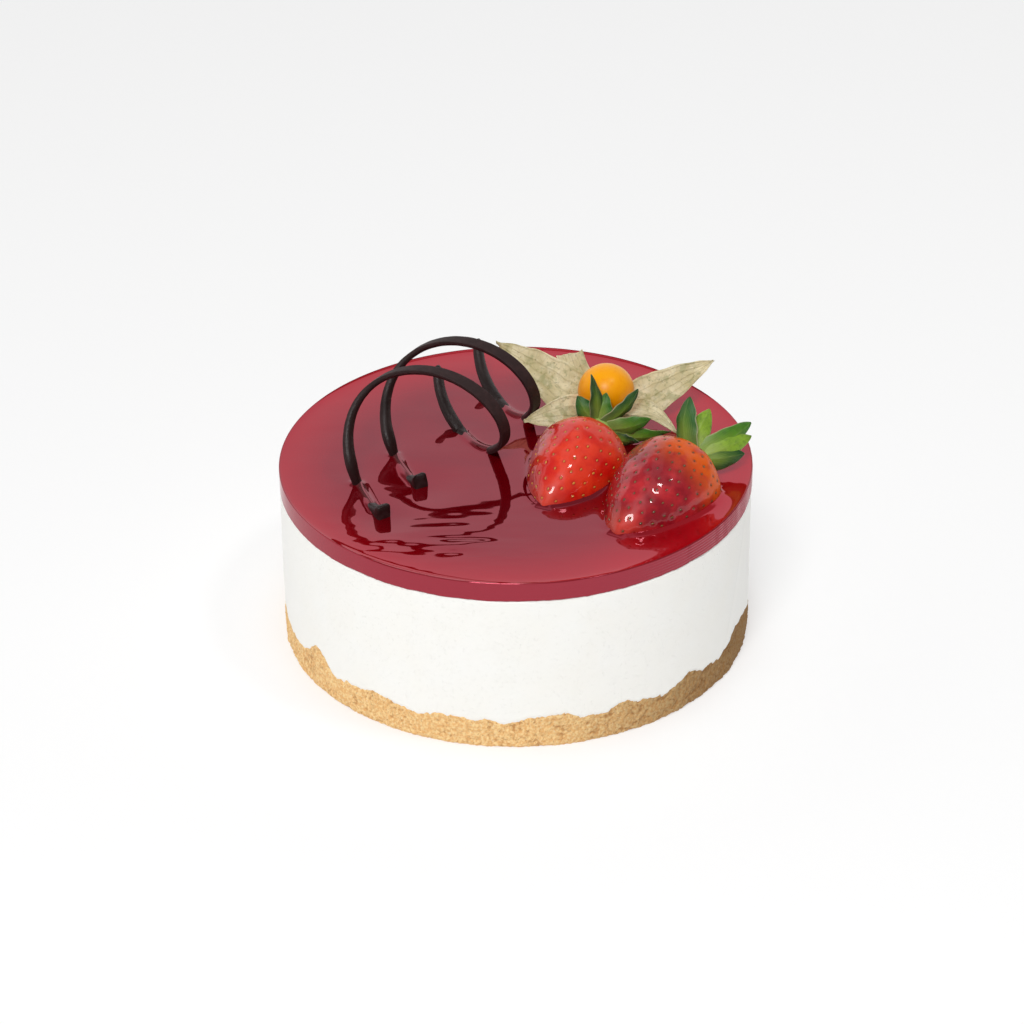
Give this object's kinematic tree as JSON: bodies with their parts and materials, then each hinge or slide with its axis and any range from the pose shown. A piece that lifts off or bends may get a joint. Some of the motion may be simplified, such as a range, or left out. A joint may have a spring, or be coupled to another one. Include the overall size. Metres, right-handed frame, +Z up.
{
  "type": "strawberry cheesecake",
  "caption": "Round unbaked cheesecake on a biscuit crust, with red fruit jelly, chocolate curls, strawberry halves and a cape gooseberry in its husk.",
  "frame": {"origin": "centre of the flat underside", "axes": "+Z up, and the front of the cake, with the start of the front curl and the strawberries' tips, faces -Y"},
  "size_m": [0.16, 0.16, 0.0982],
  "materials": {
    "crust": "dry pressed biscuit crumb",
    "filling": "smooth satin cream cheese",
    "jelly": "wet mirror gloss",
    "chocolate": "dark satin",
    "strawberry": "glazed with clear gel",
    "sepal": "soft leaf",
    "gooseberry": "waxy satin skin",
    "husk": "dry papery husk"
  },
  "bodies": {
    "root": {"crumb_base": "crust", "cheesecake_filling": "filling", "strawberry_jelly": "jelly", "chocolate_curl_front": "chocolate", "chocolate_curl_back": "chocolate", "strawberry_left": "strawberry", "strawberry_right": "strawberry", "calyx_left": "sepal", "calyx_right": "sepal", "gooseberry": "gooseberry", "gooseberry_husk": "husk"}
  },
  "joints": []
}
